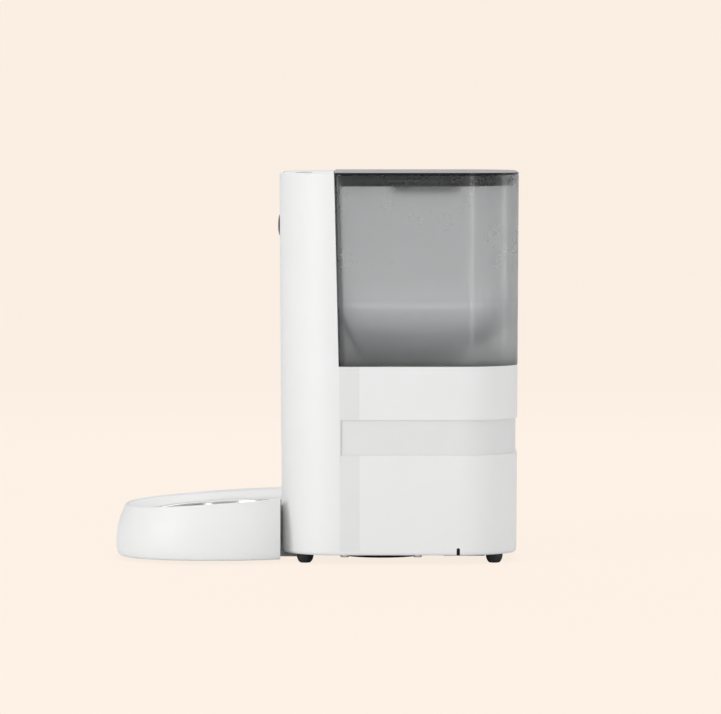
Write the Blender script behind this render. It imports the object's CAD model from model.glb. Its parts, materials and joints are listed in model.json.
import json
import math

import bmesh
import bpy
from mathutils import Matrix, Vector

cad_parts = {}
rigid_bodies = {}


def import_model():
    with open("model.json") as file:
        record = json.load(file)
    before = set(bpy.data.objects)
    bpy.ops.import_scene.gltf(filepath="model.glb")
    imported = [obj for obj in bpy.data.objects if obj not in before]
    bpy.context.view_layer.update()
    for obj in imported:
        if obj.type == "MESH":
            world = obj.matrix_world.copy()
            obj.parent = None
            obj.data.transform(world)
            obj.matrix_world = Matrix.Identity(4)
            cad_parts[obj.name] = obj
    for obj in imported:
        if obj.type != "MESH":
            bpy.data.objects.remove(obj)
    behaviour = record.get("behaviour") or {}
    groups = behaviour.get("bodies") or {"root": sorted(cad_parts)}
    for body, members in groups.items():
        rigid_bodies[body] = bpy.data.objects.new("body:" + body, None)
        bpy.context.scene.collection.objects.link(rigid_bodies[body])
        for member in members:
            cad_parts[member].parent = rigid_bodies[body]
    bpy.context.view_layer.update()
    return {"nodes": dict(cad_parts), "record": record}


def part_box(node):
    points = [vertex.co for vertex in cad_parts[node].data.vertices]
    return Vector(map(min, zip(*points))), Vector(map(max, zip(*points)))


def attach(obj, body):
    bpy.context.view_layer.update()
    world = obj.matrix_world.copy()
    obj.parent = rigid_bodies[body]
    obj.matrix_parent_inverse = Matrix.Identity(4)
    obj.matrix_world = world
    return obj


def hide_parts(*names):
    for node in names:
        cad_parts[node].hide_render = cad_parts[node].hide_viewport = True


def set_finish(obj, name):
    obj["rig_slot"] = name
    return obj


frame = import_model()
nodes = frame["nodes"]
mm = 0.001
print("stage: frame loaded,", len(nodes), "nodes")


# places taken from the frame, in millimetres

def span(nodeName):
    low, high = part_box(nodeName)
    return [v / mm for v in low], [v / mm for v in high]


def middleOf(nodeName):
    low, high = span(nodeName)
    return (low[0] + high[0]) / 2, (low[1] + high[1]) / 2


housingLow, housingHigh = span("outer_housing")
hopperHigh = span("food_hopper")[1]
lidHigh = span("lid_panel")[1]

plan = {
    "front": housingLow[0],
    "rear": lidHigh[0],
    "half": lidHigh[1],
    "radius": 46.0,
    "top": housingHigh[2],
    "bottom": housingLow[2],
    "draft": 1.5,  # how much narrower each side is at the floor
    "cornerSteps": 20,
    "seat": 152.2,
    "partingAtSeat": 17.3,
    "partingAtLid": 13.8,
}
plan["middle"] = (plan["front"] + plan["rear"]) / 2
plan["length"] = plan["rear"] - plan["front"]


# small helpers for working in edit mode

def deselectAll():
    if bpy.context.object is not None and bpy.context.object.mode != "OBJECT":
        bpy.ops.object.mode_set(mode="OBJECT")
    bpy.ops.object.select_all(action="DESELECT")


def makeActive(obj):
    deselectAll()
    obj.select_set(True)
    bpy.context.view_layer.objects.active = obj


def settle(obj):
    # the place goes into the mesh, so the object stays at the origin
    makeActive(obj)
    bpy.ops.object.transform_apply(location=True, rotation=True, scale=True)
    return obj


def pick(obj, kind, test):
    # edit mode, with only the verts, edges or faces that pass the test selected
    makeActive(obj)
    bpy.ops.object.mode_set(mode="EDIT")
    bpy.ops.mesh.select_mode(type=kind)
    bpy.ops.mesh.select_all(action="DESELECT")
    shape = bmesh.from_edit_mesh(obj.data)
    for item in {"VERT": shape.verts, "EDGE": shape.edges, "FACE": shape.faces}[kind]:
        if test(item):
            item.select_set(True)
    bmesh.update_edit_mesh(obj.data)


def editDone(obj, recalc=True):
    bpy.ops.mesh.select_mode(type="VERT")
    bpy.ops.mesh.select_all(action="SELECT")
    if recalc:
        bpy.ops.mesh.normals_make_consistent(inside=False)
    bpy.ops.object.mode_set(mode="OBJECT")
    return obj


def applied(obj, kind, **settings):
    makeActive(obj)
    modifier = obj.modifiers.new(kind.lower(), kind)
    for name, value in settings.items():
        setattr(modifier, name, value)
    bpy.ops.object.modifier_apply(modifier=modifier.name)
    return obj


def cutAway(obj, *cutters):
    for cutter in cutters:
        applied(obj, "BOOLEAN", operation="DIFFERENCE", solver="EXACT", object=cutter)
        bpy.data.objects.remove(cutter)
    return obj


def softenEdges(obj, width, segments=2, angle=35):
    applied(obj, "BEVEL", width=width * mm, segments=segments, limit_method="ANGLE",
            angle_limit=math.radians(angle), use_clamp_overlap=True, miter_outer="MITER_ARC")
    return obj


def smooth(obj, angle=35, weighted=True):
    makeActive(obj)
    bpy.ops.object.shade_smooth_by_angle(angle=math.radians(angle))
    if weighted:
        applied(obj, "WEIGHTED_NORMAL", keep_sharp=True, weight=60)
    return obj


def addBlock(name, low, high):
    size = [(b - a) * mm for a, b in zip(low, high)]
    centre = [(a + b) / 2 * mm for a, b in zip(low, high)]
    deselectAll()
    bpy.ops.mesh.primitive_cube_add(size=1, location=centre)
    obj = bpy.context.object
    obj.name = name
    obj.scale = size
    return settle(obj)


def addRod(name, centre, radius, low, high, axis="Z", steps=48):
    turns = {"Z": (0, 0, 0), "X": (0, math.pi / 2, 0), "Y": (math.pi / 2, 0, 0)}
    place = {"Z": (centre[0], centre[1], (low + high) / 2), "X": ((low + high) / 2, centre[0], centre[1]),
             "Y": (centre[0], (low + high) / 2, centre[1])}
    deselectAll()
    bpy.ops.mesh.primitive_cylinder_add(
        vertices=steps, radius=radius * mm, depth=(high - low) * mm,
        location=[v * mm for v in place[axis]], rotation=turns[axis])
    obj = bpy.context.object
    obj.name = name
    return settle(obj)


def onBoundary(item):
    return item.is_boundary


def turnProfile(name, centre, profile, steps=64, ring=False):
    # a circle, then every next (radius, height) is extruded from it
    # a ring is closed on itself, all others are capped
    radius, height = profile[0]
    place = [centre[0] * mm, centre[1] * mm, height * mm]
    deselectAll()
    bpy.ops.mesh.primitive_circle_add(vertices=steps, radius=radius * mm, fill_type="NOTHING", location=place)
    obj = bpy.context.object
    obj.name = name
    settle(obj)
    bpy.ops.object.mode_set(mode="EDIT")
    bpy.ops.mesh.select_all(action="SELECT")
    for nextRadius, nextHeight in profile[1:]:
        rise = (nextHeight - height) * mm
        bpy.ops.mesh.extrude_region_move(TRANSFORM_OT_translate={"value": (0, 0, rise)})
        place[2] = nextHeight * mm
        grow = nextRadius / radius
        bpy.ops.transform.resize(value=(grow, grow, 1), center_override=place)
        radius, height = nextRadius, nextHeight
    pick(obj, "EDGE", onBoundary)
    if ring:
        bpy.ops.mesh.bridge_edge_loops()
    else:
        bpy.ops.mesh.fill_holes(sides=0)
    return editDone(obj)


def arc(cx, cy, radius, start, end, count):
    # points of a round corner in a profile, angles in degrees
    points = []
    for i in range(count + 1):
        angle = math.radians(start + (end - start) * i / count)
        points.append((cx + radius * math.cos(angle), cy + radius * math.sin(angle)))
    return points


# the body's plan, shared by housing, hopper, lid and cap

def draftAt(z):
    return plan["draft"] * (plan["top"] - z) / (plan["top"] - plan["bottom"])


def partingAt(z):
    lean = (plan["partingAtLid"] - plan["partingAtSeat"]) / (301.0 - plan["seat"])
    return plan["partingAtSeat"] + lean * (z - plan["seat"])


def planScale(z, inset):
    offset = draftAt(z) + inset
    return (plan["length"] - 2 * offset) / plan["length"], (plan["half"] - offset) / plan["half"]


def outlineRing(name, z, front, frontRadius, rearRadius, inset=0.0, sideCuts=5):
    # a plane with rounded corners and divided sides, of which only the outline is kept
    deselectAll()
    length, width = plan["rear"] - front, 2 * plan["half"]
    bpy.ops.mesh.primitive_plane_add(size=1, location=((front + plan["rear"]) / 2 * mm, 0, z * mm))
    obj = bpy.context.object
    obj.name = name
    obj.scale = (length * mm, width * mm, 1)
    settle(obj)
    middle = (front + plan["rear"]) / 2 * mm
    pick(obj, "VERT", lambda v: v.co.x > middle)
    bpy.ops.mesh.bevel(affect="VERTICES", offset=rearRadius * mm, segments=plan["cornerSteps"], profile=0.5)
    pick(obj, "VERT", lambda v: v.co.x < front * mm + 1e-5)
    bpy.ops.mesh.bevel(affect="VERTICES", offset=frontRadius * mm,
                       segments=plan["cornerSteps"] if frontRadius > 10 else 4, profile=0.5)
    pick(obj, "EDGE", lambda e: e.calc_length() > 30 * mm)
    bpy.ops.mesh.subdivide(number_cuts=sideCuts)
    bpy.ops.mesh.select_all(action="SELECT")
    bpy.ops.mesh.delete(type="ONLY_FACE")
    bpy.ops.mesh.select_mode(type="EDGE")
    bpy.ops.mesh.select_all(action="SELECT")
    fx, fy = planScale(z, inset)
    bpy.ops.transform.resize(value=(fx, fy, 1), center_override=(plan["middle"] * mm, 0, z * mm))
    return obj, {"z": z, "inset": inset}


def growRing(obj, ring, z, inset, front=None):
    # extrudes the selected outline to a new height and inset
    # front, if given, is where its front side goes, as on the leaning parting
    bpy.ops.mesh.extrude_region_move(TRANSFORM_OT_translate={"value": (0, 0, (z - ring["z"]) * mm)})
    old, new = planScale(ring["z"], ring["inset"]), planScale(z, inset)
    bpy.ops.transform.resize(value=(new[0] / old[0], new[1] / old[1], 1),
                             center_override=(plan["middle"] * mm, 0, z * mm))
    ring["z"], ring["inset"] = z, inset
    if front is not None:
        shape = bmesh.from_edit_mesh(obj.data)
        chosen = [v for v in shape.verts if v.select]
        foremost = min(v.co.x for v in chosen)
        for v in chosen:
            if v.co.x < foremost + 12 * mm:
                v.co.x += front * mm - foremost
        bmesh.update_edit_mesh(obj.data)


# outer housing: a drafted sleeve, opened for hopper, alcove, band, button and cable

housing = {
    "wall": 2.5,
    "topRound": 1.2,
    "bandFront": 18.8,
    "bandLow": 84.0,
    "bandHigh": 111.2,
    "bandDepth": 1.3,
    "alcoveHalf": 43.5,
    "alcoveTop": 107.5,
    "alcoveCorner": 24.0,
    "buttonHole": 8.9,
    "buttonHeight": 259.0,
    "slotAt": 109.2,
    "slotWidth": 2.6,
    "slotTop": 12.8,
}


def leaningBlock(name, low, high, offset=0.0):
    # everything behind the parting, as a block whose front face leans
    block = addBlock(name, (partingAt(low) + offset, -110, low), (plan["rear"] + 40, 110, high))
    pick(block, "VERT", lambda v: v.co.x < 100 * mm and v.co.z > (high - 1) * mm)
    bpy.ops.transform.translate(value=((partingAt(high) - partingAt(low)) * mm, 0, 0))
    return editDone(block)


def archBlock(name, half, top, corner, low, front, back):
    block = addBlock(name, (front, -half, low), (back, half, top))
    pick(block, "EDGE", lambda e: all(v.co.z > (top - 1) * mm for v in e.verts)
         and abs(e.verts[0].co.y - e.verts[1].co.y) < 1e-6)
    bpy.ops.mesh.bevel(offset=corner * mm, segments=12, profile=0.5)
    return editDone(block)


def sleeve(name, low, high, inset):
    # a closed column of the body's plan, used as a cutter
    obj, ring = outlineRing(name, low, plan["front"], plan["radius"], plan["radius"], inset)
    growRing(obj, ring, high, inset)
    pick(obj, "EDGE", onBoundary)
    bpy.ops.mesh.fill_holes(sides=0)
    return editDone(obj)


def onBand(face):
    # the recessed grip band: upright faces between its edges, on or just inside the outer surface
    x, y, z = face.calc_center_median() / mm
    margin = 0.6
    if z < housing["bandLow"] + margin or z > housing["bandHigh"] - margin:
        return False
    outward = face.normal.x * (x - plan["middle"]) + face.normal.y * y > 0
    return x > housing["bandFront"] + 0.5 and outward and abs(face.normal.z) < 0.3


def makeHousing():
    bottom, top = plan["bottom"], plan["top"]
    r = housing["topRound"]
    obj, ring = outlineRing("outerHousing", top - r, plan["front"], plan["radius"], plan["radius"])
    wall = housing["wall"]
    foot = [(bottom + 3.0, 0.0), (bottom + 1.5, 0.25), (bottom + 0.5, 0.8), (bottom, 1.5)]
    for z, inset in foot + [(bottom, wall), (top, wall), (top, r), (top - 0.35 * r, 0.25 * r)]:
        growRing(obj, ring, z, inset)
    pick(obj, "EDGE", onBoundary)
    bpy.ops.mesh.bridge_edge_loops()
    editDone(obj)
    cutAway(obj, leaningBlock("hopperSpace", plan["seat"], 340))
    half, archTop = housing["alcoveHalf"], housing["alcoveTop"]
    cutAway(obj, archBlock("doorway", half, archTop, housing["alcoveCorner"], -10, plan["front"] - 10, 0))
    band = sleeve("band", housing["bandLow"], housing["bandHigh"], -6.0)
    face = sleeve("bandFace", housing["bandLow"] - 5, housing["bandHigh"] + 5, housing["bandDepth"])
    ahead = addBlock("aheadOfBand", (plan["front"] - 20, -110, 70), (housing["bandFront"], 110, 130))
    cutAway(obj, cutAway(band, face, ahead))
    cutAway(obj, addRod("buttonHole", (0, housing["buttonHeight"]), housing["buttonHole"],
                        plan["front"] - 10, plan["front"] + 10, "X", 64))
    half = housing["slotWidth"] / 2
    across, straightTop = housing["slotAt"], housing["slotTop"] - half
    shaft = addBlock("slotShaft", (across - half, -95, -5), (across + half, -70, straightTop))
    head = addRod("slotHead", (across, straightTop), half, -95, -70, "Y", 32)
    cutAway(obj, shaft, head)
    softenEdges(obj, 0.45, 2, 40)
    smooth(obj, 40)
    obj.data.materials.append(None)
    obj.data.materials.append(None)
    pick(obj, "FACE", onBand)
    obj.active_material_index = 1
    bpy.ops.object.material_slot_assign()
    editDone(obj, False)
    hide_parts("outer_housing")
    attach(obj, "feeder_body")
    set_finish(obj, "white_plastic")
    return obj


# tower cap, flush between the housing's walls

cap = {
    "low": 297.4,
    "edge": 299.0,  # where its upright side ends
    "top": 299.9,
    "inset": 2.8,
    "buttonAt": -10.0,
    "buttonHole": 7.3,
}


def makeTowerCap():
    edge, inset = cap["edge"], cap["inset"]
    obj, ring = outlineRing("towerCap", edge, plan["front"], plan["radius"], plan["radius"], inset)
    growRing(obj, ring, cap["low"], inset)
    pick(obj, "EDGE", lambda e: e.is_boundary and e.verts[0].co.z > (edge - 1) * mm)
    ring.update(z=edge, inset=inset)
    growRing(obj, ring, edge + 0.6, inset + 0.1)
    growRing(obj, ring, cap["top"], inset + 0.5)
    pick(obj, "EDGE", onBoundary)
    bpy.ops.mesh.fill_holes(sides=0)
    editDone(obj)
    cutAway(obj, leaningBlock("capRear", 280, 320, -0.5))
    cutAway(obj, addRod("capHole", (cap["buttonAt"], 0), cap["buttonHole"], 290, 310, "Z", 64))
    softenEdges(obj, 0.3, 2, 40)
    smooth(obj, 40)
    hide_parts("tower_cap")
    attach(obj, "feeder_body")
    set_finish(obj, "white_plastic")
    return obj


# food hopper: wall, funnel and spout as one skin with an inside and an outside

hopper = {
    "wall": 2.2,
    "sheet": 3.2,  # the funnel's underside lies this far below its inside
    # the funnel's heights, each with its share of the way from the walls to the throat
    "funnel": [(200.0, 0.0), (194.0, 0.035), (187.0, 0.09), (180.0, 0.16), (174.5, 0.255), (170.0, 0.37),
               (166.0, 0.5), (162.5, 0.65), (159.5, 0.81), (157.0, 1.0)],
    "throat": 24.0,
    "throatAt": 64.0,
    "spoutBottom": 131.5,
    "high": hopperHigh[2],
    "seatLow": 152.5,
    "gap": 0.3,
    "frontRound": 3.2,
}


def makeHopper():
    h = hopper
    wall = h["wall"]
    high, seat = h["high"], h["seatLow"]
    frontAt = lambda z, inset: partingAt(z) + h["gap"] + inset
    obj, ring = outlineRing("foodHopper", high - 0.6, frontAt(high, 0), h["frontRound"], plan["radius"])
    for z in (260.0, 215.0, 185.0, 165.0, seat + 0.5):
        growRing(obj, ring, z, 0.0, frontAt(z, 0))
    growRing(obj, ring, seat, 0.5, frontAt(seat, 0.5))
    growRing(obj, ring, seat, wall, frontAt(seat, wall))
    for z in (170.0, h["funnel"][0][0] - 6.0):
        growRing(obj, ring, z, wall, frontAt(z, wall))
    growFunnel(obj, ring, wall, -1)
    growFunnel(obj, ring, wall, 1)
    for z in (215.0, 260.0, high - 0.6):
        growRing(obj, ring, z, wall, frontAt(z, wall))
    growRing(obj, ring, high, wall - 0.5, frontAt(high, wall - 0.5))
    growRing(obj, ring, high, 0.5, frontAt(high, 0.5))
    pick(obj, "EDGE", onBoundary)
    bpy.ops.mesh.bridge_edge_loops()
    editDone(obj)
    smooth(obj, 50)
    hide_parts("food_hopper")
    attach(obj, "hopper")
    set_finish(obj, "smoky_plastic")
    return obj


def selectedVerts(obj):
    return [v for v in bmesh.from_edit_mesh(obj.data).verts if v.select]


def growFunnel(obj, ring, wall, side):
    # side -1 runs down the sheet's underside to the spout's foot, side 1 comes up its inside
    h = hopper
    sheet = h["sheet"] if side < 0 else 0.0
    radius = h["throat"] + (wall if side < 0 else 0.0)
    levels = h["funnel"]
    if side < 0:
        top = levels[0][0] - sheet
        growRing(obj, ring, top, wall, partingAt(top) + h["gap"] + wall)
        ring["start"] = [v.co.copy() for v in selectedVerts(obj)]
        levels = levels[1:]
    else:
        levels = levels[::-1]
    for level, share in levels:
        bpy.ops.mesh.extrude_region_move(TRANSFORM_OT_translate={"value": (0, 0, 0)})
        for v, start in zip(selectedVerts(obj), ring["start"]):
            angle = math.atan2(start.y, start.x - h["throatAt"] * mm)
            ringX = (h["throatAt"] + radius * math.cos(angle)) * mm
            ringY = radius * math.sin(angle) * mm
            v.co.x = start.x + (ringX - start.x) * share
            v.co.y = start.y + (ringY - start.y) * share
            v.co.z = (level - sheet) * mm
        bmesh.update_edit_mesh(obj.data)
    if side < 0:
        moveSelected(obj, h["spoutBottom"])
        bpy.ops.mesh.extrude_region_move(TRANSFORM_OT_translate={"value": (0, 0, 0)})
        shrink = h["throat"] / (h["throat"] + wall)
        bpy.ops.transform.resize(value=(shrink, shrink, 1),
                                 center_override=(h["throatAt"] * mm, 0, h["spoutBottom"] * mm))
    ring["z"], ring["inset"] = levels[-1][0], wall


def moveSelected(obj, z):
    # a straight stretch down or up to a new height
    bpy.ops.mesh.extrude_region_move(TRANSFORM_OT_translate={"value": (0, 0, 0)})
    for v in selectedVerts(obj):
        v.co.z = z * mm
    bmesh.update_edit_mesh(obj.data)


# lid: thin plate with a skirt that hangs inside the hopper

lid = {
    "low": 299.3,
    "edge": 300.3,  # where its upright rim ends
    "top": lidHigh[2],
    "skirtLow": 290.4,
    "skirtInset": 4.4,
    "skirtWall": 1.8,
}


def makeLid():
    front = lambda z, inset: partingAt(z) + 0.3 + inset
    obj, ring = outlineRing("lidPanel", lid["edge"], front(lid["edge"], 0), 1.6, plan["radius"])
    low, foot = lid["low"], lid["skirtLow"]
    outer = lid["skirtInset"]
    inner = outer + lid["skirtWall"]
    for z, inset in ((299.5, 0.0), (low, 0.2), (low, outer), (foot + 0.4, outer), (foot, outer + 0.4),
                     (foot, inner), (low, inner)):
        growRing(obj, ring, z, inset, front(z, inset))
    pick(obj, "EDGE", lambda e: e.is_boundary and e.verts[0].co.z > 300 * mm)
    ring.update(z=lid["edge"], inset=0.0)
    for z, inset in ((300.65, 0.12), (300.9, 0.4), (lid["top"], 0.9)):
        growRing(obj, ring, z, inset, front(z, inset))
    pick(obj, "EDGE", onBoundary)
    bpy.ops.mesh.fill_holes(sides=0)
    editDone(obj)
    smooth(obj, 50)
    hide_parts("lid_panel")
    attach(obj, "lid")
    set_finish(obj, "gloss_dark_plastic")
    return obj


seal = {"low": 293.0, "top": 296.0, "outer": 2.6, "inner": 4.1, "round": 0.5}


def makeLidSeal():
    front = lambda z, inset: partingAt(z) + 0.3 + inset
    low, top, outer, inner = seal["low"], seal["top"], seal["outer"], seal["inner"]
    soft = outer + seal["round"]
    obj, ring = outlineRing("lidSeal", top - 0.4, front(top - 0.4, outer), 3.0, plan["radius"], outer)
    for z, inset in ((top, soft), (top, inner), (low, inner), (low, soft), (low + 0.4, outer)):
        growRing(obj, ring, z, inset, front(z, inset))
    pick(obj, "EDGE", onBoundary)
    bpy.ops.mesh.bridge_edge_loops()
    editDone(obj)
    smooth(obj, 50)
    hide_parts("lid_seal")
    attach(obj, "lid")
    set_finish(obj, "silicone")
    return obj


# bowl tray: barrel outside, sloping band inside, all leaning to the front

tray = {
    "at": -72.5,
    "slope": 0.07,
    "rimFront": -148.8,
    "rimHeight": 41.3,
    "leanFrom": 12.0,
    "squareFrom": 60.0,
    "squareFull": 74.0,
    "frontExponent": 2.6,  # 2 would be a circle
    "rear": -27.8,
    "tongueBack": -9.0,
    "tongueHalf": 40.5,
    "steps": 128,
}


def shapeTray(obj):
    # in front of its middle a turned piece gets squarer, and its upper part rises towards the body
    exponent = tray["frontExponent"]
    for v in obj.data.vertices:
        x, y, height = v.co / mm
        across = math.hypot(x - tray["at"], y)
        if x < tray["at"] and across > tray["squareFrom"]:
            along, sideways = abs(x - tray["at"]) / across, abs(y) / across
            reach = (along ** exponent + sideways ** exponent) ** (-1 / exponent)
            share = min(1.0, (across - tray["squareFrom"]) / (tray["squareFull"] - tray["squareFrom"]))
            grow = 1 + (reach - 1) * share
            x, y = tray["at"] + (x - tray["at"]) * grow, y * grow
        share = max(0.0, (height - tray["leanFrom"]) / (tray["rimHeight"] - tray["leanFrom"]))
        v.co = Vector((x, y, height + tray["slope"] * (x - tray["rimFront"]) * share)) * mm
    return obj


def behindTray(gap):
    # all that lies behind the straight rear, apart from the tongue in the alcove
    rear, half = tray["rear"] - gap, tray["tongueHalf"] - gap
    behind = addBlock("behindTray", (rear, -120, -30), (60, 120, 130))
    return cutAway(behind, addBlock("tongue", (rear - 20, -half, -40), (tray["tongueBack"] - gap, half, 140)))


def makeTray():
    outside = [(56.2, 5.7), (80.3, 5.7), (80.3, 3.0), (81.6, 3.0), (82.6, 3.7), (83.3, 5.2), (83.8, 8.5),
               (84.0, 12.0), (83.95, 16.0), (83.6, 20.0), (83.0, 24.5), (82.1, 28.5), (81.2, 31.5),
               (80.1, 34.2), (79.0, 36.9), (77.9, 39.3)]
    rim = arc(76.4, 39.9, 1.4, 15, 160, 6)
    band = [(74.2, 39.9), (71.0, 39.2), (67.5, 38.2), (64.0, 37.2), (61.5, 36.4), (60.2, 35.9), (59.6, 35.2),
            (59.4, 34.5), (59.4, 33.8), (56.3, 33.8), (56.0, 33.4)]
    obj = turnProfile("trayShell", (tray["at"], 0), outside + rim + band, tray["steps"], True)
    cutAway(obj, behindTray(0.0))
    softenEdges(obj, 0.5, 2, 50)
    shapeTray(obj)
    smooth(obj, 45)
    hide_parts("tray_shell")
    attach(obj, "tray")
    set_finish(obj, "white_plastic")
    return obj


def makeTrayBase():
    outline = [(10, 5.4), (79.2, 5.4), (79.6, 5.0), (79.6, 3.4), (79.2, 3.0), (10, 3.0)]
    obj = turnProfile("trayBase", (tray["at"], 0), outline, 96)
    cutAway(obj, behindTray(0.4))
    softenEdges(obj, 0.3, 1, 50)
    shapeTray(obj)
    smooth(obj, 45)
    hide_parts("tray_base")
    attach(obj, "tray")
    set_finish(obj, "white_plastic")
    return obj


# steel bowl: spun dish with a rolled flange

bowl = {
    "flangeLow": 34.1,
    "flangeHigh": 35.3,
    "heelAt": 37.5,  # centre and radius of the round between floor and side
    "heelHeight": 24.2,
    "heelRadius": 17.6,
    "sheet": 0.9,
}


def makeBowl():
    low, high = bowl["flangeLow"], bowl["flangeHigh"]
    heel, heelUp, sheet = bowl["heelAt"], bowl["heelHeight"], bowl["sheet"]
    radius = bowl["heelRadius"]
    outside = [(20, 6.4), (37.0, 6.4)] + arc(heel, heelUp, radius, -88, -12, 10)[1:]
    outside += [(55.1, 29.0), (55.2, low)]
    flange = [(58.6, low), (59.0, 34.4), (59.0, 35.0), (58.6, high), (56.0, high)]
    inside = [(55.0, 35.1), (54.4, 34.4), (54.3, 29.0)] + arc(heel, heelUp, radius - sheet, -12, -88, 10)
    inside += [(37.0, 7.4), (20, 7.3)]
    obj = turnProfile("steelBowl", (tray["at"], 0), outside + flange + inside, 128)
    shapeTray(obj)
    smooth(obj, 50, False)
    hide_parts("steel_bowl")
    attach(obj, "bowl")
    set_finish(obj, "bowl_steel")
    return obj


# rubber feet and pads

rubber = {
    "foot": [(2.5, 0.0), (3.8, 0.15), (5.0, 1.2), (5.8, 2.6), (6.3, 4.2), (6.5, 5.4), (6.5, 6.9)],
    "pad": [(4.9, 0.0), (5.5, 0.15), (5.9, 0.6), (6.0, 1.2), (6.0, 2.7)],
    "steps": 40,
}


def makeFeet():
    for i in range(1, 5):
        obj = turnProfile(f"rubberFoot{i}", middleOf(f"foot_{i}"), rubber["foot"], rubber["steps"])
        smooth(obj, 50)
        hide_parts(f"foot_{i}")
        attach(obj, "feeder_body")
        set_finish(obj, "black_rubber")
    for i in range(1, 4):
        obj = turnProfile(f"trayPad{i}", middleOf(f"tray_pad_{i}"), rubber["pad"], rubber["steps"])
        smooth(obj, 50)
        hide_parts(f"tray_pad_{i}")
        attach(obj, "tray")
        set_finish(obj, "black_rubber")


# alcove lining with the chute's mouth

liner = {
    "half": 41.0,
    "top": 105.0,
    "corner": 21.8,
    "back": -6.0,
    "wall": 2.2,
    "low": 10.2,
    "mouthHalf": 21.5,
    "mouthLow": 55.0,
    "mouthTop": 83.2,
}


def makeLiner():
    half, top, corner, wall = liner["half"], liner["top"], liner["corner"], liner["wall"]
    low, front, back = liner["low"], plan["front"], liner["back"]
    inner = archBlock("alcoveRoom", half, top, corner, 0, front - 5, back)
    obj = archBlock("outletLiner", half + wall, top + wall, corner + wall, low, front + 1.6, back + 2)
    cutAway(obj, inner)
    cutAway(obj, archBlock("mouth", liner["mouthHalf"], liner["mouthTop"], 3.0, liner["mouthLow"], -12, 0))
    softenEdges(obj, 0.4, 2, 40)
    smooth(obj, 40)
    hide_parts("outlet_liner")
    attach(obj, "feeder_body")
    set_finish(obj, "white_plastic")
    return obj


# controls

controls = {
    "feedHeight": 259.0,
    "feedRadius": 8.5,
    "lightDrop": 2.6,
    "lightHole": 1.6,
    "topAt": -10.0,
    "topRadius": 7.0,
    "top": 300.1,
}


def facingFront(obj, height):
    # a piece turned about Z is laid over so that its top looks to the front
    obj.rotation_euler = (0, -math.pi / 2, 0)
    obj.location = (plan["front"] * mm, 0, height * mm)
    return settle(obj)


def makeControls():
    r = controls["feedRadius"]
    dome = [(9.8, -4.0), (9.8, -3.2), (r, -3.2), (r, -0.1), (8.35, 0.25), (7.9, 0.62), (7.0, 0.98),
            (5.6, 1.3), (3.8, 1.55), (1.8, 1.68)]
    button = turnProfile("feedButton", (0, 0), dome, 72)
    facingFront(button, controls["feedHeight"])
    lightHeight = controls["feedHeight"] - controls["lightDrop"]
    front, hole = plan["front"], controls["lightHole"]
    cutAway(button, addRod("lightHole", (0, lightHeight), hole, front - 5, front + 2, "X", 32))
    smooth(button, 40)
    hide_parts("feed_button")
    lens = [(1.3, -1.7), (1.3, 1.45), (1.15, 1.65), (0.8, 1.76), (0.3, 1.8)]
    light = turnProfile("statusLight", (0, 0), lens, 32)
    facingFront(light, lightHeight)
    smooth(light, 50)
    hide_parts("status_light")
    for obj, slot in ((button, "gloss_dark_plastic"), (light, "light_lens")):
        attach(obj, "feed_button")
        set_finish(obj, slot)
    t = controls["topRadius"]
    top = controls["top"]
    skirt = [(8.6, top - 5.5), (8.6, top - 4.5), (t, top - 4.5), (t, top - 0.45), (t - 0.15, top - 0.15)]
    dish = [(t - 0.5, top), (t - 1.0, top - 0.1), (5.0, top - 0.55), (3.0, top - 0.95), (1.0, top - 1.1)]
    knob = turnProfile("topButton", (controls["topAt"], 0), skirt + dish, 72)
    smooth(knob, 40)
    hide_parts("top_button")
    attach(knob, "top_button")
    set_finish(knob, "gloss_dark_plastic")


# desiccant holder under the lid

desiccant = {
    "wall": [(25.0, 286.4), (25.3, 286.2), (26.3, 286.2), (26.5, 286.4), (26.5, 298.6), (26.2, 299.0),
             (8, 299.0), (8, 297.4), (25.0, 297.4)],
    "cover": [(2, 284.0), (25.8, 284.0), (26.3, 284.2), (26.5, 284.6), (26.5, 285.6), (26.3, 285.9),
              (24.6, 285.9), (24.6, 288.8), (24.4, 289.0), (23.6, 289.0), (23.4, 288.8), (23.4, 285.9),
              (2, 285.9)],
    "ventStep": 5.4,
    "ventReach": 20.0,
    "ventHalf": 1.0,
}


def makeDesiccantHolder():
    centre = middleOf("desiccant_box")
    obj = turnProfile("desiccantBox", centre, desiccant["wall"], 64, True)
    smooth(obj, 50)
    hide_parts("desiccant_box")
    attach(obj, "lid")
    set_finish(obj, "smoky_plastic")
    cover = turnProfile("desiccantCover", centre, desiccant["cover"], 64)
    half = desiccant["ventHalf"]
    for i in range(-3, 4):
        y = desiccant["ventStep"] * i
        reach = math.sqrt(desiccant["ventReach"] ** 2 - y ** 2)
        slot = addBlock("vent", (centre[0] - reach, y - half, 280), (centre[0] + reach, y + half, 290))
        pick(slot, "EDGE", lambda e: abs(e.verts[0].co.z - e.verts[1].co.z) > 5 * mm)
        bpy.ops.mesh.bevel(offset=0.9 * mm, segments=4)
        editDone(slot)
        cutAway(cover, slot)
    smooth(cover, 40)
    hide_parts("desiccant_cover")
    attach(cover, "desiccant_cover")
    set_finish(cover, "smoky_plastic")


# shader node groups: each puts out heights, masks or values that vary over the surface

def newGroup(name, inputs, outputs):
    group = bpy.data.node_groups.new(name, "ShaderNodeTree")
    for socket, kind, value in inputs:
        made = group.interface.new_socket(name=socket, in_out="INPUT", socket_type=kind)
        if value is not None:
            made.default_value = value
    for socket, kind in outputs:
        group.interface.new_socket(name=socket, in_out="OUTPUT", socket_type=kind)
    return group, group.nodes.new("NodeGroupInput"), group.nodes.new("NodeGroupOutput")


def addNode(tree, kind, settings=None, **values):
    made = tree.nodes.new(kind)
    for name, value in (settings or {}).items():
        setattr(made, name, value)
    for name, value in values.items():
        made.inputs[name].default_value = value
    return made


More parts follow.
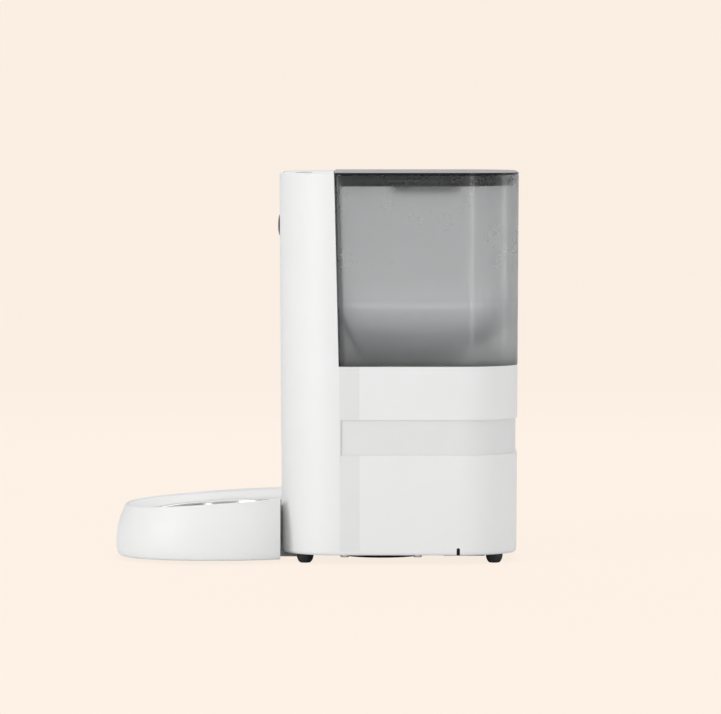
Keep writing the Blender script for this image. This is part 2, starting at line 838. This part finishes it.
def mathNode(tree, operation, first, second=None, clamp=False):
    made = addNode(tree, "ShaderNodeMath", {"operation": operation, "use_clamp": clamp})
    for socket, value in ((made.inputs[0], first), (made.inputs[1], second)):
        if value is None:
            continue
        if isinstance(value, (int, float)):
            socket.default_value = value
        else:
            tree.links.new(value, socket)
    return made.outputs[0]


def mouldGroup():
    # fine spark-eroded grain and a slow mottle, in millimetres of feature size
    group, source, sink = newGroup(
        "mouldedSurface",
        [("Vector", "NodeSocketVector", None), ("Grain Size", "NodeSocketFloat", 0.6),
         ("Mottle Size", "NodeSocketFloat", 40.0)],
        [("Height", "NodeSocketFloat"), ("Mottle", "NodeSocketFloat")])
    for label, divide, detail, roughness in (("Height", "Grain Size", 3.0, 0.6),
                                             ("Mottle", "Mottle Size", 4.0, 0.55)):
        scale = mathNode(group, "DIVIDE", 1.0 / mm, source.outputs[divide])
        noise = addNode(group, "ShaderNodeTexNoise", Detail=detail, Roughness=roughness)
        group.links.new(source.outputs["Vector"], noise.inputs["Vector"])
        group.links.new(scale, noise.inputs["Scale"])
        group.links.new(noise.outputs["Fac"], sink.inputs[label])
    return group


def smudgeGroup():
    # wiped-over smears and a few hairline scratches on gloss
    group, source, sink = newGroup(
        "handledGloss",
        [("Vector", "NodeSocketVector", None), ("Smear Size", "NodeSocketFloat", 22.0)],
        [("Smear", "NodeSocketFloat"), ("Scratch", "NodeSocketFloat")])
    scale = mathNode(group, "DIVIDE", 1.0 / mm, source.outputs["Smear Size"])
    smear = addNode(group, "ShaderNodeTexNoise", Detail=5.0, Roughness=0.62, Distortion=0.0)
    group.links.new(source.outputs["Vector"], smear.inputs["Vector"])
    group.links.new(scale, smear.inputs["Scale"])
    ramp = addNode(group, "ShaderNodeMapRange", **{"From Min": 0.42, "From Max": 0.72})
    group.links.new(smear.outputs["Fac"], ramp.inputs["Value"])
    group.links.new(ramp.outputs["Result"], sink.inputs["Smear"])
    stretch = addNode(group, "ShaderNodeMapping", Scale=(900.0, 60.0, 60.0), Rotation=(0.3, 0.5, 0.7))
    lines = addNode(group, "ShaderNodeTexNoise", Scale=1.0, Detail=2.0)
    group.links.new(source.outputs["Vector"], stretch.inputs["Vector"])
    group.links.new(stretch.outputs["Vector"], lines.inputs["Vector"])
    thin = addNode(group, "ShaderNodeMapRange", **{"From Min": 0.68, "From Max": 0.74})
    group.links.new(lines.outputs["Fac"], thin.inputs["Value"])
    group.links.new(thin.outputs["Result"], sink.inputs["Scratch"])
    return group


def spunGroup():
    # rings left by spinning or turning round an upright axis through Centre
    group, source, sink = newGroup(
        "spunRings",
        [("Vector", "NodeSocketVector", None), ("Centre", "NodeSocketVector", (0, 0, 0)),
         ("Rings", "NodeSocketFloat", 1800.0)],
        [("Height", "NodeSocketFloat"), ("Sheen", "NodeSocketFloat")])
    away = addNode(group, "ShaderNodeVectorMath", {"operation": "SUBTRACT"})
    group.links.new(source.outputs["Vector"], away.inputs[0])
    group.links.new(source.outputs["Centre"], away.inputs[1])
    split = addNode(group, "ShaderNodeSeparateXYZ")
    group.links.new(away.outputs[0], split.inputs[0])
    alongX, alongY = [mathNode(group, "ABSOLUTE", split.outputs[i]) for i in (0, 1)]
    squareX, squareY = [mathNode(group, "POWER", side, 2.0) for side in (alongX, alongY)]
    squares = mathNode(group, "ADD", squareX, squareY)
    radius = mathNode(group, "SQRT", squares)
    along = addNode(group, "ShaderNodeCombineXYZ")
    group.links.new(mathNode(group, "MULTIPLY", radius, source.outputs["Rings"]), along.inputs[0])
    group.links.new(mathNode(group, "MULTIPLY", split.outputs[2], source.outputs["Rings"]), along.inputs[1])
    rings = addNode(group, "ShaderNodeTexNoise", Scale=1.0, Detail=3.0, Roughness=0.7)
    group.links.new(along.outputs[0], rings.inputs["Vector"])
    group.links.new(rings.outputs["Fac"], sink.inputs["Height"])
    slow = addNode(group, "ShaderNodeTexNoise", Scale=30.0, Detail=4.0)
    group.links.new(source.outputs["Vector"], slow.inputs["Vector"])
    group.links.new(slow.outputs["Fac"], sink.inputs["Sheen"])
    return group


groups = {}


def buildGroups():
    groups["mould"] = mouldGroup()
    groups["smudge"] = smudgeGroup()
    groups["spun"] = spunGroup()


# materials

def newMaterial(name):
    material = bpy.data.materials.new(name)
    material.use_nodes = True
    tree = material.node_tree
    shader = tree.nodes["Principled BSDF"]
    coords = tree.nodes.new("ShaderNodeTexCoord")
    return material, tree, shader, coords


def placeGroup(tree, name, coords, **values):
    made = tree.nodes.new("ShaderNodeGroup")
    made.node_tree = groups[name]
    tree.links.new(coords.outputs["Object"], made.inputs["Vector"])
    for socket, value in values.items():
        made.inputs[socket.replace("_", " ")].default_value = value
    return made


def colourBetween(tree, factor, dark, light):
    mix = addNode(tree, "ShaderNodeMix", {"data_type": "RGBA"})
    mix.inputs[6].default_value = (*dark, 1)
    mix.inputs[7].default_value = (*light, 1)
    tree.links.new(factor, mix.inputs[0])
    return mix.outputs[2]


def valueBetween(tree, factor, low, high):
    made = addNode(tree, "ShaderNodeMapRange", **{"To Min": low, "To Max": high})
    tree.links.new(factor, made.inputs["Value"])
    return made.outputs["Result"]


def bumpFrom(tree, height, distance, strength=1.0):
    bump = addNode(tree, "ShaderNodeBump", Strength=strength, Distance=distance * mm)
    tree.links.new(height, bump.inputs["Height"])
    return bump.outputs["Normal"]


# grain and depth are in millimetres
finishes = {
    "white": {"dark": (0.795, 0.797, 0.79), "light": (0.83, 0.832, 0.825),
        "rough": (0.38, 0.5), "grain": 0.5, "depth": 0.006},
    "gripWhite": {"dark": (0.73, 0.732, 0.726), "light": (0.77, 0.772, 0.765),
        "rough": (0.42, 0.55), "grain": 0.4, "depth": 0.01},
    "innerWhite": {"dark": (0.68, 0.68, 0.67), "light": (0.74, 0.74, 0.73),
        "rough": (0.45, 0.6), "grain": 0.8, "depth": 0.01},
    "darkPlastic": {"dark": (0.012, 0.012, 0.013), "light": (0.03, 0.03, 0.031),
        "rough": (0.42, 0.62), "grain": 0.7, "depth": 0.015},
    "rubber": {"dark": (0.008, 0.008, 0.009), "light": (0.022, 0.022, 0.022),
        "rough": (0.6, 0.85), "grain": 0.5, "depth": 0.02},
    "silicone": {"dark": (0.012, 0.012, 0.013), "light": (0.03, 0.03, 0.031),
        "rough": (0.5, 0.7), "grain": 1.2, "depth": 0.01},
    "acetal": {"dark": (0.66, 0.65, 0.60), "light": (0.76, 0.75, 0.71),
        "rough": (0.3, 0.45), "grain": 1.0, "depth": 0.006},
    "lens": {"dark": (0.8, 0.8, 0.8), "light": (0.9, 0.9, 0.9),
        "rough": (0.15, 0.3), "grain": 1.0, "depth": 0.003},
    "cellWrap": {"dark": (0.05, 0.05, 0.06), "light": (0.12, 0.12, 0.14),
        "rough": (0.25, 0.4), "grain": 2.0, "depth": 0.004},
}


def mouldedMaterial(name):
    f = finishes[name]
    material, tree, shader, coords = newMaterial(name)
    mould = placeGroup(tree, "mould", coords, Grain_Size=f["grain"], Mottle_Size=35.0)
    colour = colourBetween(tree, mould.outputs["Mottle"], f["dark"], f["light"])
    tree.links.new(colour, shader.inputs["Base Color"])
    tree.links.new(valueBetween(tree, mould.outputs["Mottle"], *f["rough"]), shader.inputs["Roughness"])
    tree.links.new(bumpFrom(tree, mould.outputs["Height"], f["depth"]), shader.inputs["Normal"])
    return material


smoke = {
    "ior": 1.35,
    "lowest": 140.0,  # heights between which the tint deepens, in millimetres
    "highest": 230.0,
    # shares of the way up, each with what one wall lets through there
    "tints": [(0.0, 0.78), (0.111, 0.78), (0.133, 0.2), (0.153, 0.42), (0.197, 0.74), (0.282, 0.86),
              (0.367, 0.92), (0.538, 0.94), (0.659, 0.96), (0.70, 0.845), (1.0, 0.87)],
    "dim": 0.985,
    "rough": (0.27, 0.31),
    "roughLow": 0.2,
    "coat": 0.25,
}


def smokyMaterial():
    # smoke-tinted clear plastic, deeper and hazier towards the funnel
    material, tree, shader, coords = newMaterial("smokyPlastic")
    smudge = placeGroup(tree, "smudge", coords, Smear_Size=26.0)
    split = addNode(tree, "ShaderNodeSeparateXYZ")
    tree.links.new(coords.outputs["Object"], split.inputs[0])
    low, high = smoke["lowest"] * mm, smoke["highest"] * mm
    height = addNode(tree, "ShaderNodeMapRange", **{"From Min": low, "From Max": high})
    tree.links.new(split.outputs[2], height.inputs["Value"])
    ramp = tree.nodes.new("ShaderNodeValToRGB")
    stops = ramp.color_ramp.elements
    while len(stops) < len(smoke["tints"]):
        stops.new(0.5)
    for stop, (place, tint) in zip(stops, smoke["tints"]):
        stop.position = place
        stop.color = (tint * 0.995, tint, tint * 1.004, 1)
    tree.links.new(height.outputs["Result"], ramp.inputs["Fac"])
    dimmed = addNode(tree, "ShaderNodeMix", {"data_type": "RGBA", "blend_type": "MULTIPLY"})
    dimmed.inputs[7].default_value = (smoke["dim"], smoke["dim"], smoke["dim"], 1)
    tree.links.new(smudge.outputs["Smear"], dimmed.inputs[0])
    tree.links.new(ramp.outputs["Color"], dimmed.inputs[6])
    tree.links.new(dimmed.outputs[2], shader.inputs["Base Color"])
    depth = mathNode(tree, "SUBTRACT", 1.0, height.outputs["Result"])
    haze = mathNode(tree, "MULTIPLY", depth, smoke["roughLow"])
    rough = valueBetween(tree, smudge.outputs["Smear"], *smoke["rough"])
    tree.links.new(mathNode(tree, "ADD", rough, haze), shader.inputs["Roughness"])
    shader.inputs["Transmission Weight"].default_value = 1.0
    shader.inputs["IOR"].default_value = smoke["ior"]
    shader.inputs["Coat Weight"].default_value = smoke["coat"]
    shader.inputs["Coat Roughness"].default_value = 0.03
    mould = placeGroup(tree, "mould", coords, Grain_Size=9.0, Mottle_Size=60.0)
    tree.links.new(bumpFrom(tree, mould.outputs["Height"], 0.006), shader.inputs["Normal"])
    return material


def glossMaterial(name, dark, light, rough, coat, specular):
    material, tree, shader, coords = newMaterial(name)
    smudge = placeGroup(tree, "smudge", coords, Smear_Size=30.0)
    tree.links.new(colourBetween(tree, smudge.outputs["Smear"], dark, light), shader.inputs["Base Color"])
    wear = mathNode(tree, "MAXIMUM", smudge.outputs["Smear"], smudge.outputs["Scratch"])
    tree.links.new(valueBetween(tree, wear, *rough), shader.inputs["Roughness"])
    shader.inputs["Specular IOR Level"].default_value = specular
    shader.inputs["Coat Weight"].default_value = coat
    shader.inputs["Coat Roughness"].default_value = 0.03
    mould = placeGroup(tree, "mould", coords, Grain_Size=12.0)
    tree.links.new(bumpFrom(tree, mould.outputs["Height"], 0.004), shader.inputs["Normal"])
    return material


def steelMaterial(name, centre, rings, dark, light, rough):
    material, tree, shader, coords = newMaterial(name)
    spun = placeGroup(tree, "spun", coords, Centre=[v * mm for v in centre], Rings=rings)
    smudge = placeGroup(tree, "smudge", coords, Smear_Size=18.0)
    tree.links.new(colourBetween(tree, spun.outputs["Height"], dark, light), shader.inputs["Base Color"])
    sheen = mathNode(tree, "ADD", mathNode(tree, "MULTIPLY", spun.outputs["Sheen"], 0.6),
                     mathNode(tree, "MULTIPLY", smudge.outputs["Smear"], 0.4))
    tree.links.new(valueBetween(tree, sheen, *rough), shader.inputs["Roughness"])
    shader.inputs["Metallic"].default_value = 1.0
    tree.links.new(bumpFrom(tree, spun.outputs["Height"], 0.004), shader.inputs["Normal"])
    return material


def boardMaterial():
    # solder mask with tracks and pads
    material, tree, shader, coords = newMaterial("circuitBoard")
    edges = {"feature": "DISTANCE_TO_EDGE"}
    cells = addNode(tree, "ShaderNodeTexVoronoi", edges, Scale=220.0, Randomness=0.35)
    tree.links.new(coords.outputs["Object"], cells.inputs["Vector"])
    track = addNode(tree, "ShaderNodeMapRange", **{"From Min": 0.06, "From Max": 0.1})
    tree.links.new(cells.outputs["Distance"], track.inputs["Value"])
    tree.links.new(colourBetween(tree, track.outputs["Result"], (0.05, 0.22, 0.09), (0.012, 0.09, 0.035)),
                   shader.inputs["Base Color"])
    mould = placeGroup(tree, "mould", coords, Grain_Size=1.5)
    tree.links.new(valueBetween(tree, mould.outputs["Mottle"], 0.3, 0.45), shader.inputs["Roughness"])
    tree.links.new(bumpFrom(tree, track.outputs["Result"], 0.03), shader.inputs["Normal"])
    return material


def sachetMaterial():
    # pressed white fibre with a fine weave
    material, tree, shader, coords = newMaterial("sachetFibre")
    waves = []
    for axis in ("X", "Y"):
        wave = addNode(tree, "ShaderNodeTexWave", {"bands_direction": axis}, Scale=300.0, Distortion=0.6)
        tree.links.new(coords.outputs["Object"], wave.inputs["Vector"])
        waves.append(wave.outputs["Fac"])
    weave = mathNode(tree, "MAXIMUM", *waves)
    colour = colourBetween(tree, weave, (0.66, 0.66, 0.64), (0.80, 0.80, 0.78))
    tree.links.new(colour, shader.inputs["Base Color"])
    tree.links.new(valueBetween(tree, weave, 0.95, 0.8), shader.inputs["Roughness"])
    tree.links.new(bumpFrom(tree, weave, 0.08), shader.inputs["Normal"])
    return material


materials = {}
slotFinish = {
    "white_plastic": "white", "inner_white_plastic": "innerWhite", "smoky_plastic": "smoky",
    "gloss_dark_plastic": "gloss", "dark_plastic": "darkPlastic", "black_rubber": "rubber",
    "silicone": "silicone", "bowl_steel": "bowlSteel", "shaft_steel": "shaftSteel",
    "circuit_board": "board", "light_lens": "lens", "gear_acetal": "acetal",
    "desiccant_fabric": "sachet", "cell_wrap": "cellWrap",
}


steels = {
    # rings: how many turning marks to the metre; at: where their axis stands
    "bowlSteel": {"at": tray["at"], "rings": 1400.0, "rough": (0.12, 0.24),
        "colours": ((0.60, 0.60, 0.60), (0.70, 0.70, 0.70))},
    "shaftSteel": {"at": 50.5, "rings": 2600.0, "rough": (0.25, 0.42),
        "colours": ((0.40, 0.40, 0.41), (0.56, 0.56, 0.57))},
}
# pieces with a finish of their own: which material slot, and what goes in it
pieceFinish = {"outerHousing": (1, "gripWhite"), "feedButton": (0, "button"), "topButton": (0, "button"),
               "lidPanel": (0, "lid")}


def buildMaterials():
    for name in finishes:
        materials[name] = mouldedMaterial(name)
    materials["smoky"] = smokyMaterial()
    black, soot = (0.006, 0.006, 0.007), (0.012, 0.012, 0.013)
    materials["gloss"] = glossMaterial("glossDark", black, soot, (0.04, 0.13), 0.6, 0.5)
    materials["lid"] = glossMaterial("lidGloss", black, soot, (0.05, 0.12), 0.12, 0.2)
    materials["button"] = glossMaterial("buttonDark", black, soot, (0.12, 0.22), 0.1, 0.25)
    for name, steel in steels.items():
        dark, light = steel["colours"]
        axis = (steel["at"], 0, 0)
        materials[name] = steelMaterial(name, axis, steel["rings"], dark, light, steel["rough"])
    materials["board"] = boardMaterial()
    materials["sachet"] = sachetMaterial()


def paintAll():
    # CAD nodes take the finish of their record slot, and new pieces that of the slot they name
    slotOf = {part["node"]: part["material_slot"] for part in frame["record"]["subparts"]}
    for obj in bpy.context.scene.objects:
        if obj.type != "MESH" or obj.get("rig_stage"):
            continue
        slot = obj.get("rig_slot") or slotOf.get(obj.name)
        material = materials[slotFinish[slot]]
        if not obj.material_slots:
            obj.data.materials.append(material)
        for place in obj.material_slots:
            place.material = material
        if obj.name in pieceFinish:
            slotIndex, finish = pieceFinish[obj.name]
            obj.material_slots[slotIndex].material = materials[finish]


# stage, lights and camera

stage = {
    "paper": (0.991, 0.887, 0.791),
    "bounce": (0.86, 0.86, 0.86),
    "lit": 0.07,  # how much real shadow the paper takes
    "wall": 7.0,  # how far the upright part stands from the middle
    "height": 4.0,
    "curve": 0.8,
}


def makeStage():
    deselectAll()
    bpy.ops.mesh.primitive_plane_add(size=1, location=(0, 0, 0))
    floor = bpy.context.object
    floor.name = "studioPaper"
    floor.scale = (2 * stage["wall"], 2 * stage["wall"], 1)
    settle(floor)
    pick(floor, "EDGE", lambda e: all(v.co.y > stage["wall"] - 0.1 for v in e.verts))
    bpy.ops.mesh.extrude_region_move(TRANSFORM_OT_translate={"value": (0, 0, stage["height"])})
    pick(floor, "EDGE", lambda e: all(v.co.y > stage["wall"] - 0.1 and v.co.z < 0.1 for v in e.verts))
    bpy.ops.mesh.bevel(offset=stage["curve"], segments=16, profile=0.5)
    editDone(floor, False)
    makeActive(floor)
    bpy.ops.object.shade_smooth()
    floor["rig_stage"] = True
    material = bpy.data.materials.new("paper")
    material.use_nodes = True
    tree = material.node_tree
    shader = tree.nodes["Principled BSDF"]
    shader.inputs["Base Color"].default_value = (*stage["bounce"], 1)
    shader.inputs["Roughness"].default_value = 0.9
    seen = addNode(tree, "ShaderNodeEmission", Color=(*stage["paper"], 1), Strength=1.0)
    tinted = addNode(tree, "ShaderNodeBsdfDiffuse", Color=(*stage["paper"], 1))
    part = addNode(tree, "ShaderNodeMixShader", Fac=stage["lit"])
    tree.links.new(seen.outputs[0], part.inputs[1])
    tree.links.new(tinted.outputs[0], part.inputs[2])
    path = addNode(tree, "ShaderNodeLightPath")
    choose = addNode(tree, "ShaderNodeMixShader")
    tree.links.new(path.outputs["Is Camera Ray"], choose.inputs[0])
    tree.links.new(shader.outputs[0], choose.inputs[1])
    tree.links.new(part.outputs[0], choose.inputs[2])
    tree.links.new(choose.outputs[0], tree.nodes["Material Output"].inputs["Surface"])
    floor.data.materials.append(material)


lamps = {
    # name: place, aim, size across and up, watts
    "frontSoftbox": ((-1.7, -1.7, 0.8), (0, 0, 0.15), (1.2, 1.6), 22),
    "rearStrip": ((1.1, -2.2, 0.7), (0, 0, 0.15), (0.35, 1.7), 6.5),
    "backStrip": ((2.2, 0.25, 0.7), (0, 0, 0.15), (0.5, 1.7), 6),
    "overhead": ((0.0, -0.2, 2.2), (0, 0, 0.1), (2.2, 1.8), 8),
    "farSide": ((0.2, 1.6, 1.3), (0, 0, 0.15), (1.6, 1.0), 7.5),
}
room = 0.57  # even light from all round


def makeLamps():
    for name, (place, aim, size, watts) in lamps.items():
        data = bpy.data.lights.new(name, "AREA")
        data.shape = "RECTANGLE"
        data.size, data.size_y = size
        data.energy = watts
        lamp = bpy.data.objects.new(name, data)
        bpy.context.scene.collection.objects.link(lamp)
        lamp.location = place
        lamp.rotation_euler = (Vector(aim) - Vector(place)).to_track_quat("-Z", "Y").to_euler()
    world = bpy.data.worlds.new("studioRoom")
    bpy.context.scene.world = world
    world.use_nodes = True
    back = world.node_tree.nodes["Background"]
    back.inputs["Color"].default_value = (1, 1, 1, 1)
    back.inputs["Strength"].default_value = room


camera = {"place": (34.1, -4514.0, 375.0), "aim": (34.1, 0.0, 155.8), "lens": 288.9}


def makeCamera():
    data = bpy.data.cameras.new("sideCamera")
    data.lens = camera["lens"]
    data.sensor_width = 36.0
    data.clip_start, data.clip_end = 0.1, 50
    obj = bpy.data.objects.new("sideCamera", data)
    bpy.context.scene.collection.objects.link(obj)
    place, aim = Vector(camera["place"]) * mm, Vector(camera["aim"]) * mm
    obj.location = place
    obj.rotation_euler = (aim - place).to_track_quat("-Z", "Y").to_euler()
    bpy.context.scene.camera = obj
    bpy.context.scene.view_settings.view_transform = "Standard"


makeCamera()
makeStage()
makeLamps()
print("stage: camera, paper and lamps")
buildGroups()
buildMaterials()
print("stage: materials")
makeHousing()
makeTowerCap()
makeLiner()
print("stage: housing, cap and liner")
makeHopper()
makeLid()
makeLidSeal()
makeDesiccantHolder()
print("stage: hopper and lid")
makeTray()
makeTrayBase()
makeBowl()
makeFeet()
makeControls()
print("stage: tray, bowl, feet and controls")
paintAll()
deselectAll()

print("stage: sizes written")
